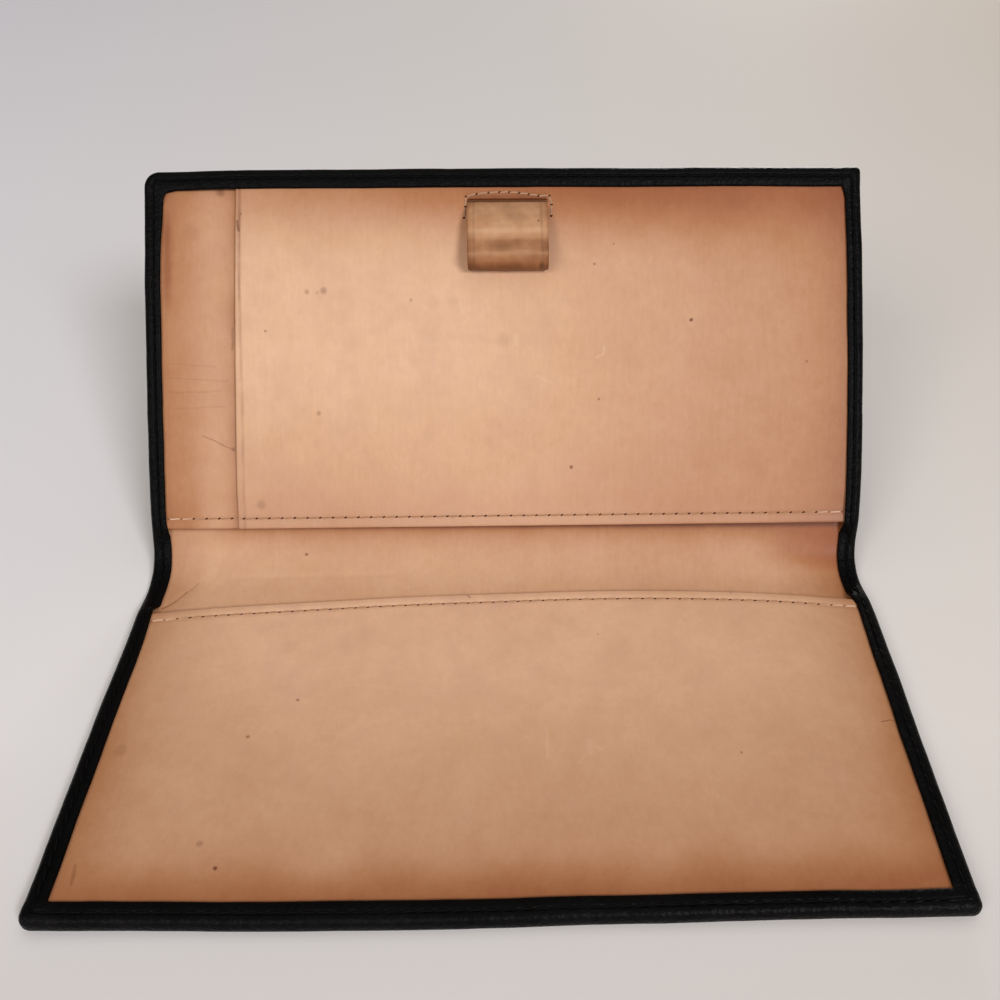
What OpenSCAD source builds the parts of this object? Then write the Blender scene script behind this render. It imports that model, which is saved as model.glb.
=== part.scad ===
// Checkbook cover: a wide two-part leather folder that stands open like a book on its side.
// The lower half lies flat, the spine bends up, and the upper half leans back from it.
// Outer leather is one sheet with its edges turned over the inside as a border.
// Local frame of a half: x across, v from its fold line to its free edge, w up from the outer face.

/* [Cover] */
// Width of the open cover, along the fold
cover_w = 171.5; // [150:0.5:200]
// Length of each half, from its fold line to its free edge
half_len = 85.6; // [80:0.1:100]
// Plan radius of the outer corners
corner_r = 2.6; // [2.4:0.1:6]
// Width of the border that is turned over the inside
turn_w = 4.3; // [3.6:0.1:7]
// Thickness of the rolled edge beside the sheets it encloses
edge_wall = 1.4; // [1.1:0.1:2]

/* [Leather] */
// Outer leather
cover_t = 1.0; // [0.8:0.1:1.6]
// Outer leather where it is pared and turned over
turn_t = 0.7; // [0.5:0.1:1.1]
// Lining sheet under the check pocket and across the spine
lining_t = 0.5; // [0.4:0.1:1]
// Width of each panel's sewn margin
seam_w = 3.0; // [2:0.1:4]
// Length over which the border climbs from the lining onto a pocket
climb_len = 0.8; // [0.4:0.1:0.8]

/* [Fold] */
// Angle that the upper half is turned up by, as it stands
fold_turn = 52; // [20:1:80]
// Bend radius of the outer face
bend_r = 11; // [8:0.5:18]
// Straight leather between the bend and the upper fold line
bend_rise = 6; // [3:0.5:12]

/* [Check pocket] */
// Thickness of the check pocket's panel
check_t = 1.1; // [0.6:0.1:1.5]
// Distance from the fold line to the two ends of the pocket's mouth
mouth_in = 7.4; // [7.2:0.2:26]
// Rise of the mouth's curve above its two ends
mouth_bow = 4.4; // [1:0.2:6]
// Room behind the panel for a card
check_gap = 0.4; // [0.3:0.1:1.2]

/* [Register pocket] */
// Thickness of the facing that backs the register pocket
facing_t = 0.7; // [0.5:0.1:1.2]
// Thickness of the register pocket's panel
register_t = 0.7; // [0.5:0.1:1.2]
// Room between the facing and the panel
register_gap = 0.4; // [0.3:0.1:1.2]
// Distance from the fold line to the hem of both panels
hem_in = 0.9; // [0.9:0.1:15]
// Distance from the cover's left edge to the pocket's open edge
register_inset = 22.4; // [12:0.2:60]
// Distance of the tooled crease from the edge that it follows
crease_in = 1.5; // [1:0.1:3]
// Length of lining that is tucked under the facing
lining_tuck = 12; // [6:0.5:30]

/* [Pen loop] */
// Width of the loop's strip
loop_w = 19.1; // [10:0.1:40]
// Offset of the loop from the middle of the cover
loop_x = 1.4; // [-20:0.1:20]
// Thickness of the strip
loop_t = 0.9; // [0.6:0.1:1.2]
// Length of the loop below its slit
loop_len = 16.7; // [12:0.1:30]
// How far the loop stands off the panel; the closed halves leave room for 8.6 at a bend radius of 11
loop_bulge = 7.8; // [6.8:0.1:9]
// Distance of the slit from the free edge
slit_drop = 8.0; // [7.2:0.1:20]
// Thickness of the pared ends where they pass the slit
loop_neck = 1.0; // [0.8:0.1:1.4]

/* [Hidden] */
// Part of the tooled crease's section
crease_w = 0.4;
crease_d = 0.15;
// Clearance of the loop's ends in the slit, and of their tab from the seam
slit_clear = 0.15;
tab_clear = 0.4;
// Least radius of an inner corner
inner_r = 0.3;
// Least flat that a rolled corner keeps inside its curve
corner_flat = 0.2;
// Overlap that cutting shapes have past the face they cut
past = 1;

// Levels above the outer face
lining_w = cover_t + lining_t;
spine_t = lining_w + turn_t;
check_w = lining_w + check_gap;
lower_t = check_w + check_t + turn_t;
facing_w = lining_w + facing_t;
low_t = facing_w + turn_t;
register_w = facing_w + register_gap;
panel_w = register_w + register_t;
upper_t = panel_w + turn_t;

// Places along v and x
seam_in = edge_wall + seam_w;
register_x = register_inset - cover_w / 2;
slit_v = half_len - slit_drop;
tab_len = slit_drop - seam_in - tab_clear;
corner = max(corner_r, upper_t / 2 + corner_flat);

// Mouth of the check pocket: a circle through its two ends and its highest point
mouth_half = cover_w / 2 - turn_w;
mouth_r = (mouth_half * mouth_half + mouth_bow * mouth_bow) / (2 * mouth_bow);

// Fold lines, with the origin under the middle of the lower half
hinge_y = half_len / 2;
upper_y = hinge_y + bend_r * sin(fold_turn) + bend_rise * cos(fold_turn);
upper_z = bend_r * (1 - cos(fold_turn)) + bend_rise * sin(fold_turn);

// Pen loop: outer radius, and half the angle at which its two runs part
loop_r = loop_bulge / 2;
loop_half = atan2(loop_r, loop_len - loop_r);

OUTER = "#1c1b1d";
TAN = "#c79a70";
LINING = "#bd8a5e";
LOOP = "#a88256";

$fn = 96;

// Turns the local frame of a half into the part's frame
module lower_place() {
    translate([0, hinge_y, 0]) mirror([0, 1, 0]) children();
}

module upper_place() {
    translate([0, upper_y, upper_z]) rotate([fold_turn, 0, 0]) children();
}

// A section drawn in x and w, drawn out along v
module run_of(len) {
    translate([0, len, 0]) rotate([90, 0, 0]) linear_extrude(height = len) children();
}

// A section drawn in x and w, carried from the upper fold line down the rise, then round the bend
module along_spine() {
    upper_place() translate([0, -bend_rise, 0]) {
        run_of(bend_rise) children();
        translate([0, 0, bend_r]) rotate([0, 90, 0]) rotate_extrude(angle = -fold_turn)
            translate([bend_r, 0]) rotate(90) children();
    }
}

// Section of a folder of height h whose two sides are rolled edges
module rolled_section(h) {
    r = h / 2;
    translate([r - cover_w / 2, 0]) square([cover_w - h, h]);
    for (side = [-1, 1])
        translate([side * (cover_w / 2 - r), r]) circle(r);
}

// Half of the rolled section, from a corner's centre out to its edge
module rolled_edge(h) {
    r = h / 2;
    square([corner - r, h]);
    translate([corner - r, 0]) intersection() {
        translate([0, r]) circle(r);
        square([r, h]);
    }
}

// Solid block of one half from v0 on, with three rolled edges and two round corners
module rolled_block(v0, h) {
    far = half_len - corner;
    span = cover_w - 2 * corner;
    translate([0, v0, 0]) run_of(far - v0) rolled_section(h);
    translate([-span / 2, far, 0]) rotate([90, 0, 90]) linear_extrude(height = span) rolled_edge(h);
    for (side = [0, 1])
        mirror([side, 0, 0]) translate([span / 2, far, 0]) rotate_extrude(angle = 90) rolled_edge(h);
}

// Slope on which the border climbs onto a pocket that begins at v0
module border_climb(v0, h) {
    slope = atan2(h - spine_t, climb_len);
    difference() {
        translate([0, v0 - climb_len, 0]) run_of(climb_len) rolled_section(h);
        translate([-cover_w, v0 - climb_len, spine_t]) rotate([slope, 0, 0])
            cube([2 * cover_w, 4 * h, 4 * h]);
    }
}

// Flat sheet that begins at v0 and lies inside the cover's outline by inset
module sheet(v0, inset, w0, t) {
    half = cover_w / 2 - inset;
    end = half_len - inset;
    r = max(corner - inset, inner_r);
    translate([0, 0, w0]) linear_extrude(height = t) {
        translate([-half, v0]) square([2 * half, end - r - v0]);
        translate([r - half, v0]) square([2 * (half - r), end - v0]);
        for (side = [-1, 1])
            translate([side * (half - r), end - r]) circle(r);
    }
}

// What lies right of the register pocket's open edge, moved left by shift
module right_part(shift) {
    intersection() {
        children();
        translate([register_x - shift, -half_len, -past])
            cube([2 * cover_w, 3 * half_len, upper_t + 2 * past]);
    }
}

// Outer leather of the lower half, with its turned-in border
module cover_lower() {
    color(OUTER) lower_place() difference() {
        union() {
            run_of(mouth_in) rolled_section(spine_t);
            border_climb(mouth_in, lower_t);
            rolled_block(mouth_in, lower_t);
        }
        sheet(-past, edge_wall, cover_t, lining_t);
        sheet(mouth_in, edge_wall, cover_t, lower_t - turn_t - cover_t);
        sheet(-past, turn_w, cover_t, lower_t + past);
    }
}

// Outer leather round the bend
module cover_spine() {
    color(OUTER) along_spine() difference() {
        rolled_section(spine_t);
        translate([edge_wall - cover_w / 2, cover_t]) square([cover_w - 2 * edge_wall, lining_t]);
        translate([turn_w - cover_w / 2, cover_t]) square([cover_w - 2 * turn_w, spine_t]);
    }
}

// Outer leather of the upper half: its border steps up where the register pocket lies under it
module cover_upper() {
    color(OUTER) upper_place() difference() {
        union() {
            run_of(hem_in) rolled_section(spine_t);
            border_climb(hem_in, low_t);
            rolled_block(hem_in, low_t);
            right_part(turn_t) {
                border_climb(hem_in, upper_t);
                rolled_block(hem_in, upper_t);
            }
        }
        sheet(-past, edge_wall, cover_t, lining_t);
        sheet(hem_in, edge_wall, cover_t, facing_w - cover_t);
        right_part(0) sheet(hem_in, edge_wall, cover_t, panel_w - cover_t);
        sheet(-past, turn_w, cover_t, upper_t + past);
    }
}

module lining_lower() {
    color(LINING) lower_place() sheet(0, edge_wall, cover_t, lining_t);
}

module lining_spine() {
    color(LINING) along_spine()
        translate([edge_wall - cover_w / 2, cover_t]) square([cover_w - 2 * edge_wall, lining_t]);
}

// End of the lining, tucked under the facing
module lining_upper() {
    color(LINING) upper_place() translate([edge_wall - cover_w / 2, 0, cover_t])
        cube([cover_w - 2 * edge_wall, hem_in + lining_tuck, lining_t]);
}

// Check pocket: a panel sewn down on three sides, its bowed mouth towards the spine
module check_pocket() {
    color(TAN) lower_place() intersection() {
        difference() {
            sheet(mouth_in - mouth_bow, edge_wall, lining_w, check_gap + check_t);
            sheet(mouth_in - mouth_bow - past, seam_in, lining_w - past, check_gap + past);
            for (side = [-1, 1])
                translate([side * cover_w / 2, mouth_in / 2, lower_t / 2])
                    cube([2 * turn_w, mouth_in, lower_t], center = true);
        }
        translate([0, mouth_in - mouth_bow + mouth_r, 0]) cylinder(r = mouth_r, h = lower_t, $fn = 360);
    }
}

// Facing sewn down all round, over the end of the lining
module upper_facing() {
    color(TAN) upper_place() difference() {
        union() {
            sheet(hem_in, edge_wall, lining_w, facing_t);
            sheet(hem_in + lining_tuck, edge_wall, cover_t, lining_t);
        }
        sheet(0, seam_in, cover_t - past, lining_t + past);
    }
}

// Register pocket: sewn at its hem, right side and top, and open at its left edge
module register_pocket() {
    color(TAN) upper_place() difference() {
        right_part(0) sheet(hem_in, edge_wall, facing_w, register_gap + register_t);
        translate([-cover_w, 0, 0]) intersection() {
            translate([cover_w, 0, 0])
                sheet(hem_in + seam_w, seam_in, facing_w - past, register_gap + past);
            cube([2 * cover_w, 2 * half_len, 2 * upper_t]);
        }
        translate([register_x + crease_in, hem_in - past, panel_w - crease_d])
            cube([crease_w, half_len, upper_t]);
        translate([loop_x - loop_w / 2 - slit_clear, slit_v - loop_neck - slit_clear, facing_w])
            cube([loop_w + 2 * slit_clear, loop_neck + 2 * slit_clear, upper_t]);
    }
}

// Side view of the loop, its back run on the panel: a circle and the two lines from it to the slit
module drop_shape(r) {
    rotate(-loop_half) {
        circle(r);
        polygon([[r / sin(loop_half), 0],
                 [r * sin(loop_half), r * cos(loop_half)],
                 [r * sin(loop_half), -r * cos(loop_half)]]);
    }
}

// Draws a side view, in v and w, out to a width across x
module across(width) {
    translate([-width / 2, 0, 0]) rotate([90, 0, 90]) linear_extrude(height = width) children();
}

// Pen loop: one strip whose pared ends pass through the slit and are sewn down behind the panel
module pen_loop() {
    color(LOOP) upper_place() translate([loop_x, slit_v, 0]) {
        translate([0, loop_r - loop_len, panel_w + loop_r]) difference() {
            across(loop_w) drop_shape(loop_r);
            across(loop_w + 2 * past) drop_shape(loop_r - loop_t);
            for (side = [-1, 1])
                translate([side * (loop_w / 2 - crease_in), 0, 0]) across(crease_w) difference() {
                    drop_shape(loop_r + past);
                    drop_shape(loop_r - crease_d);
                }
        }
        translate([-loop_w / 2, -loop_neck, facing_w]) {
            cube([loop_w, loop_neck, register_gap + register_t]);
            cube([loop_w, loop_neck + tab_len, register_gap]);
        }
    }
}

cover_lower();
cover_spine();
cover_upper();
lining_lower();
lining_spine();
lining_upper();
check_pocket();
upper_facing();
register_pocket();
pen_loop();
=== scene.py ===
# %% [markdown]
# # A leather checkbook cover, open on a table
# Six sheets of leather and some thread make this cover. A black outer sheet has its edges turned
# over the inside, and the tan sheets lie under that border: a lining across the spine, a check
# pocket with a bowed mouth, a facing, a register pocket and a pen loop.
# The lesson loads the measured part as a fixed frame, then builds each sheet again as soft leather.

# %% The measured part
import math

import bpy
import numpy as np
from mathutils import Matrix, Vector


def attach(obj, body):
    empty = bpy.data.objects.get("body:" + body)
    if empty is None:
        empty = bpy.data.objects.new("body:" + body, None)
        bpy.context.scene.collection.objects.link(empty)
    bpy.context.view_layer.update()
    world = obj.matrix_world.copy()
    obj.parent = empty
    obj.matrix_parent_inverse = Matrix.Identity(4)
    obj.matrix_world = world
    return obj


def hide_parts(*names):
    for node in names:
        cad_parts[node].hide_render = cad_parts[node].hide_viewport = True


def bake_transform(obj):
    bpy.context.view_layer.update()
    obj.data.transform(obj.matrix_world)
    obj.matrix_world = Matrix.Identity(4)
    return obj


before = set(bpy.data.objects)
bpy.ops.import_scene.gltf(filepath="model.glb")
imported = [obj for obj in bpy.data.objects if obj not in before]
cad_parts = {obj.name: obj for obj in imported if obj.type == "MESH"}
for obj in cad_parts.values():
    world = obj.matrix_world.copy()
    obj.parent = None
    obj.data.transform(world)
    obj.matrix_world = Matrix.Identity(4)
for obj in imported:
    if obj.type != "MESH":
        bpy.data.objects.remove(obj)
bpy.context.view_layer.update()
MM = 0.001
print("nodes to dress:", sorted(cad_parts))

# %% [markdown]
# ## One map for all the leather
# Every sheet follows the same bend, so each is drawn flat first: x runs across the cover, s runs
# from the front edge to the top edge along the outer face, and w is the height above that face.
# One function then bends the flat drawing. The other way is to model each sheet bent, but then
# seams and stitches would have to be fitted to each other by hand.

# %% The bend, as a table of angles along s
HALF = 85.75  # half the width, mm
LENGTH = 187.15  # front edge to top edge, mm
FLAT = 84.97  # flat part that lies on the table
BEND_RADIUS = 12.54
BEND_ANGLE = 56.3  # degrees at the end of the bend
TOP_ANGLE = 48.5  # the upper leaf bows back to this
FRONT_Y = -42.65
STEP = 0.1
bend_end = FLAT + BEND_RADIUS * math.radians(BEND_ANGLE)

along = np.arange(-3, LENGTH + 3 + STEP, STEP)
angle = np.interp(along, [0, FLAT, bend_end, LENGTH], [0, 0, BEND_ANGLE, TOP_ANGLE])
blur = np.exp(-0.5 * (np.arange(-60, 61) * STEP / 1.5) ** 2)
angle = np.radians(np.convolve(np.pad(angle, 60, mode="edge"), blur / blur.sum(), "valid"))
angle[along < FLAT - 6] = 0
middle = (angle[1:] + angle[:-1]) / 2
face_y = np.concatenate([[0], np.cumsum(np.cos(middle) * STEP)])
face_z = np.concatenate([[0], np.cumsum(np.sin(middle) * STEP)])
face_y += FRONT_Y - np.interp(0, along, face_y)
print("top edge of the outer face, mm:", round(face_y[-31], 1), round(face_z[-31], 1))

# %% [markdown]
# Years of use left their own shape: the front corners curl up by less than a millimetre, the band
# at the spine is drawn in, and the upper corners lean back a little. These small moves go into the
# same map, so every sheet and stitch shares them.

# %% From the flat drawing to the bent cover
BAND = 91.1  # middle of the bend along s


def ease(t):
    """0 before 0, 1 after 1, smooth between."""
    t = np.clip(t, 0, 1)
    return t * t * (3 - 2 * t)


def bell(distance, width, power=2):
    """1 at distance 0, falling away smoothly on both sides over about width."""
    return np.exp(-((distance / width) ** power))


LEAN_SLOPE = math.radians(50)  # about the slope of the upper leaf, square to which it leans


def place(points):
    """Flat drawing (x, s, w) in mm to the part's own frame in metres."""
    x, s, w = np.asarray(points, float).T
    tilt = np.interp(s, along, angle)
    y = np.interp(s, along, face_y) - w * np.sin(tilt)
    z = np.interp(s, along, face_z) + w * np.cos(tilt)
    side = x / HALF
    right, left = np.clip(side, 0, 1), np.clip(-side, 0, 1)
    # The band is drawn in.
    x = x + (0.45 * left - 1.0 * right) * bell(s - BAND, 12)
    # The front corners curl up; the lower half is sheared and turned, and its front edge is bowed.
    front = np.clip((80 - s) / 80, 0, 1)
    z = z + front**1.5 * (0.79 * right**1.3 + 0.51 * left**2)
    front = np.clip((85 - s) / 85, 0, 1)
    x = x - 1.32 * front + 0.4 * left * bell(s - 68, 12)
    y = y + 0.83 * side * front + (0.45 - 0.8 * bell(side + 0.3, 0.5)) * front**6
    # The upper leaf is drawn in at the top right, and its corners lean back.
    x = x - 0.55 * right * ease((s - 145) / 42)
    lean = np.clip((s - 100) / (LENGTH - 100), 0, 1) * (0.3 * side + 0.92 * side**2)
    y = y + lean * math.sin(LEAN_SLOPE)
    z = z - lean * math.cos(LEAN_SLOPE)
    return np.stack([x, y, z], 1) * MM


print("upper right corner, m:", place([[HALF, LENGTH, 2]]).round(4))

# %% [markdown]
# ## Uneven
# Leather is never quite flat. A few crossing waves with seeded random directions give slow swells
# that repeat the same way on every run. A noise texture could displace the mesh as well, but
# waves in code are known at any point, so stitches can be set on the very surface they pass.

# %% Slow swells
def swells(x, s, size, seed, count=7):
    """Smooth random height from -1 to 1, with bumps about size mm across."""
    rng = np.random.default_rng(seed)
    total = np.zeros(np.broadcast(x, s).shape)
    for _ in range(count):
        turn, wave = rng.uniform(0, math.tau), math.tau / size * rng.uniform(0.5, 1.2)
        total = total + np.sin(wave * (x * math.cos(turn) + s * math.sin(turn)) + rng.uniform(0, math.tau))
    return total / count * 1.4


print("swell range:", swells(np.linspace(0, 200, 500), 0, 30, 1).min().round(2))

# %% [markdown]
# ## How high each layer lies
# The stack is 1 mm of outer leather, half a millimetre of lining, then the panels with a card's
# room behind them, then the turned border. Where a panel begins, the border climbs onto it.

# %% The mouth, the hem and the layer heights
MOUTH_X = [-79.3, -54, -27.2, -3.6, 27.3, 50, 65, 79.9]
MOUTH_S = [76.2, 78.5, 80.4, 81.5, 82.3, 81.8, 80.9, 79.3]
MOUTH = np.polyfit(MOUTH_X, MOUTH_S, 4)
OPEN_EDGE = -63.2  # left edge of the register pocket at the top
OUTER = 1.0  # leather thickness; where it is turned it is pared to 0.7
FACING_TOP, PANEL_TOP, CHECK_TOP = 2.2, 3.3, 3.0
LINING_TOP = 1.5
TUCKED = 1.7  # how far inside the edge a panel's hidden side ends
PANEL_HALF = HALF - TUCKED
SIDE_WIDTH_S = [0, 60, 74, 77, 79.5, 90, 100, 103, 110, 180, 182.3]
SIDE_WIDTH = [4.5, 4.4, 4.0, 3.9, 4.5, 4.55, 4.4, 3.9, 4.0, 4.1, 4.8]


def mouth_at(x):
    return np.polyval(MOUTH, np.clip(x, -82, 82))


def hem_at(x):
    return 102.2 + 0.006 * np.asarray(x, float)


def open_edge(s):
    """The pocket was sewn in a little askew, so its open edge slants."""
    return np.interp(s, [104, 182], [OPEN_EDGE - 1.2, OPEN_EDGE - 0.4])


def tooled_line(s):
    """How far the pressed line runs from the pocket's open edge."""
    return np.interp(s, [130, 160], [1.6, 1.0])


def border_top(x, s, inner=1.0):
    """Height of the turned border's face above the outer face. inner is 1 at its sewn edge and 0 at
    the rolled edge, which climbs onto the panels more slowly."""
    x, s = np.broadcast_arrays(np.asarray(x, float), np.asarray(s, float))
    on_check = 1.45 * (1 - ease((s - mouth_at(x) + 1.5 - 1.6 * inner) / (9 - 5.6 * inner)))
    fold = -0.12 * bell(x - open_edge(s), 0.35)  # pressed by the pocket's edge below
    climb = ease((s - hem_at(x) + 6.5 - 3.4 * inner) / (8 - 4.8 * inner))
    on_panels = (0.75 + 1.05 * ease((x + 83) / 19) + fold) * climb
    uneven = 0.06 * swells(x, s, 14, 3) + 0.04 * swells(x, s, 5, 4)
    return 2.2 + np.where(s < 92, on_check, on_panels) + uneven


def border_width(x, s):
    """How far the turned border reaches in from the edge: along the sides, and at the two ends."""
    sides = np.interp(s, SIDE_WIDTH_S, SIDE_WIDTH)
    sides = sides + np.where(x < 0, 0.6 * ease((s - 166) / 14), 0)
    ends = np.where(s < BAND, 4.5, 4.85 + 0.55 * ease((-x - 78) / 2.5))
    return ends + (sides - ends) * ease(np.abs(x) - 82.4)


print("mouth at its ends and middle:", mouth_at(np.array([-80, 0, 80])).round(1))

# %% [markdown]
# ## Colours and nodes
# A paint colour on screen is stored in sRGB, while the renderer counts light, so one function
# turns hex values to linear ones. A second small function adds any node with its settings and
# inputs and hands back the socket that comes out, so a material reads like a recipe.

# %% Two helpers for materials
def linear(hex_code):
    """sRGB hex to linear RGBA."""
    parts = [int(hex_code[i : i + 2], 16) / 255 for i in (1, 3, 5)]
    return tuple(c / 12.92 if c <= 0.04045 else ((c + 0.055) / 1.055) ** 2.4 for c in parts) + (1.0,)


def add(tree, kind, inputs=None, out=0, stops=None, **settings):
    """A node; its inputs are sockets, numbers or hex colours by name or number; stops fill a ramp."""
    node = tree.nodes.new("ShaderNode" + kind)
    for name, value in settings.items():
        setattr(node, name, value)
    if stops:
        line = node.color_ramp.elements
        line[0].position, line[0].color = stops[0][0], linear(stops[0][1])
        line[-1].position, line[-1].color = stops[-1][0], linear(stops[-1][1])
        for position, hex_code in stops[1:-1]:
            line.new(position).color = linear(hex_code)
    for key, value in (inputs or {}).items():
        if isinstance(value, bpy.types.NodeSocket):
            tree.links.new(value, node.inputs[key])
        else:
            node.inputs[key].default_value = linear(value) if isinstance(value, str) else value
    return node.outputs[out] if node.outputs else None


def start_material(name):
    """An empty material, and the flat leather coordinates in mm that every sheet carries."""
    material = bpy.data.materials.new(name)
    material.use_nodes = True
    tree = material.node_tree
    tree.nodes.clear()
    return material, tree, add(tree, "Attribute", attribute_name="leather", out="Vector")


print("peach tan in linear:", [round(c, 3) for c in linear("#e0b08c")])

# %% [markdown]
# ## Vegetable-tanned calf leather
# Bark-tanned calf starts a pale peach and darkens with light, oil and handling to honey and then
# brown, most where hands and edges rub it. It has a soft satin face, fine pores under half a
# millimetre, hair-thin streaks along the hide, and cut edges that are darker than the face.
# The broad darkening, with some painted shade and painted highlights, is kept in each mesh as a
# number called patina_and_shading, because it follows the shape of the sheet; the nodes break it up
# with noise, so that it doesn't look airbrushed. Four more numbers say where dirt and painted shade
# lie, where the edge is cut, where oil warmed the brown and where it is rosy.

# %% Marks that a material can carry
def flat_coordinates(tree, where):
    """The coordinates without their height, shifted a little by noise: no mark is drawn too cleanly."""
    flat = add(tree, "VectorMath", {0: where, 1: (1, 1, 0)}, operation="MULTIPLY")
    noise = add(tree, "TexNoise", {"Vector": flat, "Scale": 1 / 2.5, "Detail": 3}, out="Color")
    shift = add(tree, "VectorMath", {0: noise, 1: (0.7, 0.7, 0), 2: (-0.35, -0.35, 0)}, operation="MULTIPLY_ADD")
    return add(tree, "VectorMath", {0: flat, 1: shift}, operation="ADD")


def spot(tree, flat, x, s, radius):
    """1 inside a small round mark, falling to 0 at its rim."""
    away = add(tree, "VectorMath", {0: flat, 1: (x, s, 0)}, operation="DISTANCE", out="Value")
    return add(tree, "MapRange", {0: away, 1: radius, 2: radius * 0.4})


def scratch(tree, flat, start, end, width):
    """1 on a thin line from start to end, falling to 0 at width from it."""
    along_line = Vector((end[0] - start[0], end[1] - start[1], 0))
    offset = add(tree, "VectorMath", {0: flat, 1: (*start, 0)}, operation="SUBTRACT")
    unit = tuple(along_line / along_line.length_squared)
    walked = add(tree, "VectorMath", {0: offset, 1: unit}, operation="DOT_PRODUCT", out="Value")
    held = add(tree, "Clamp", {0: walked})
    nearest = add(tree, "VectorMath", {0: tuple(along_line), "Scale": held}, operation="SCALE")
    away = add(tree, "VectorMath", {0: offset, 1: nearest}, operation="DISTANCE", out="Value")
    return add(tree, "MapRange", {0: away, 1: width, 2: width * 0.2})


def strongest(tree, masks):
    """The largest of several masks, each a (socket, strength) pair."""
    total = 0.0
    for mask, strength in masks:
        scaled = add(tree, "Math", {0: mask, 1: strength}, operation="MULTIPLY")
        total = add(tree, "Math", {0: scaled, 1: total}, operation="MAXIMUM")
    return total


print("marks: spots and scratches")

# %% Tan leather material
PORE, STREAK, BLOTCH, CLOUD = 0.42, 0.7, 6.0, 26.0  # mm


def calf_leather(
    name, stops, spots=(), scratches=(), scuffs=(), stain_and_shade_tint="#6f3c20", rough=0.5, grain=1.0,
    hair=0.05, lie=(1, 0.09, 0.3), blotch=BLOTCH, flush=0.5,
):
    """Spots are (x, s, radius, strength), scratches and the paler scuffs (start, end, width,
    strength), in mm of the flat drawing; hair is how strongly the fine streaks show, and lie
    which way they run."""
    material, tree, where = start_material(name)
    fields = ("patina_and_shading", "dirt_and_shade", "cut_edge", "oil", "rosy")
    patina_and_shading, dirt_and_shade, cut, oil, rosy = (add(tree, "Attribute", attribute_name=f, out="Fac") for f in fields)
    flat = flat_coordinates(tree, where)
    hide = add(tree, "VectorMath", {0: where, 1: lie}, operation="MULTIPLY")
    hide_across = add(tree, "VectorMath", {0: where, 1: (1, 0.6, 1)}, operation="MULTIPLY")
    clouds = add(tree, "TexNoise", {"Vector": where, "Scale": 1 / CLOUD, "Detail": 4})
    blotches = add(tree, "TexNoise", {"Vector": where, "Scale": 1 / blotch, "Detail": 5, "Roughness": 0.62})
    streaks = add(tree, "TexNoise", {"Vector": hide, "Scale": 1 / STREAK, "Detail": 3})
    fine = add(tree, "TexNoise", {"Vector": hide_across, "Scale": 1 / 1.3, "Detail": 5, "Roughness": 0.75})
    age = patina_and_shading
    for noise, share in ((clouds, 0.16), (blotches, 0.16), (streaks, hair), (fine, 0.16)):
        age = add(tree, "Math", {0: noise, 1: share, 2: age}, operation="MULTIPLY_ADD")
    # Each noise averages 0.5, so the sum is shifted back by half of all the shares.
    age = add(tree, "Math", {0: age, 1: 0.24 + hair / 2}, operation="SUBTRACT", use_clamp=True)
    # Tanning leaves a faint pink flush here and there, which shows only where the leather is pale.
    pink = add(tree, "TexNoise", {"Vector": where, "Scale": 1 / 8, "Detail": 4, "Roughness": 0.6})
    pink = add(tree, "MapRange", {0: pink, 1: 0.45, 2: 0.75, 4: flush})
    pale = add(tree, "Math", {0: age, 1: -2.2, 2: 1.1}, operation="MULTIPLY_ADD", use_clamp=True)
    pink = add(tree, "Math", {0: pink, 1: pale, 2: rosy}, operation="MULTIPLY_ADD")
    # Dark pores and small stains, few and far between.
    stain = add(tree, "TexNoise", {"Vector": where, "Scale": 1 / 1.7, "Detail": 6, "Roughness": 0.75})
    stain = add(tree, "MapRange", {0: stain, 1: 0.66, 2: 0.78, 4: 0.28})
    # Where fingers left their oil the brown turns warmer.
    layers = [(pink, "#d2a68f"), (oil, "#a85a2c"), (stain, "#9b6f4c")]
    dark = [(spot(tree, flat, x, s, radius), strength) for x, s, radius, strength in spots]
    dark += [(scratch(tree, flat, a, b, width), strength) for a, b, width, strength in scratches]
    light = [(scratch(tree, flat, a, b, width), strength) for a, b, width, strength in scuffs]
    layers += [(strongest(tree, masks), tint) for masks, tint in ((dark, stain_and_shade_tint), (light, "#f0d3b5")) if masks]
    # Dirt and painted shade darken the colour towards stain_and_shade_tint, broken up by blotches.
    grime_and_shade = add(tree, "Math", {0: blotches, 1: 0.9, 2: 0.55}, operation="MULTIPLY_ADD")
    grime_and_shade = add(tree, "Math", {0: dirt_and_shade, 1: grime_and_shade}, operation="MULTIPLY", use_clamp=True)
    colour = add(tree, "ValToRGB", {0: age}, stops=stops)
    for mask, tint in layers + [(grime_and_shade, stain_and_shade_tint), (cut, "#875430")]:
        colour = add(tree, "Mix", {0: mask, 6: colour, 7: tint}, data_type="RGBA", out=2)
    # Handling polishes the leather: the darker it is, the smoother.
    gloss = add(tree, "Math", {0: age, 1: -0.14, 2: rough + 0.05}, operation="MULTIPLY_ADD")
    gloss = add(tree, "Math", {0: fine, 1: 0.08, 2: gloss}, operation="MULTIPLY_ADD")
    pores = add(tree, "TexVoronoi", {"Vector": where, "Scale": 1 / PORE})
    relief = add(tree, "TexNoise", {"Vector": where, "Scale": 1 / 2.2, "Detail": 5, "Roughness": 0.6})
    for form, share in ((pores, 0.3), (streaks, 6 * hair)):
        relief = add(tree, "Math", {0: form, 1: share, 2: relief}, operation="MULTIPLY_ADD")
    bump = add(tree, "Bump", {"Height": relief, "Strength": 0.22 * grain, "Distance": 0.0002})
    skin = {"Base Color": colour, "Roughness": gloss, "Normal": bump, "IOR": 1.5, "Specular IOR Level": 0.3}
    add(tree, "OutputMaterial", {0: add(tree, "BsdfPrincipled", skin)})
    return material


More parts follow.
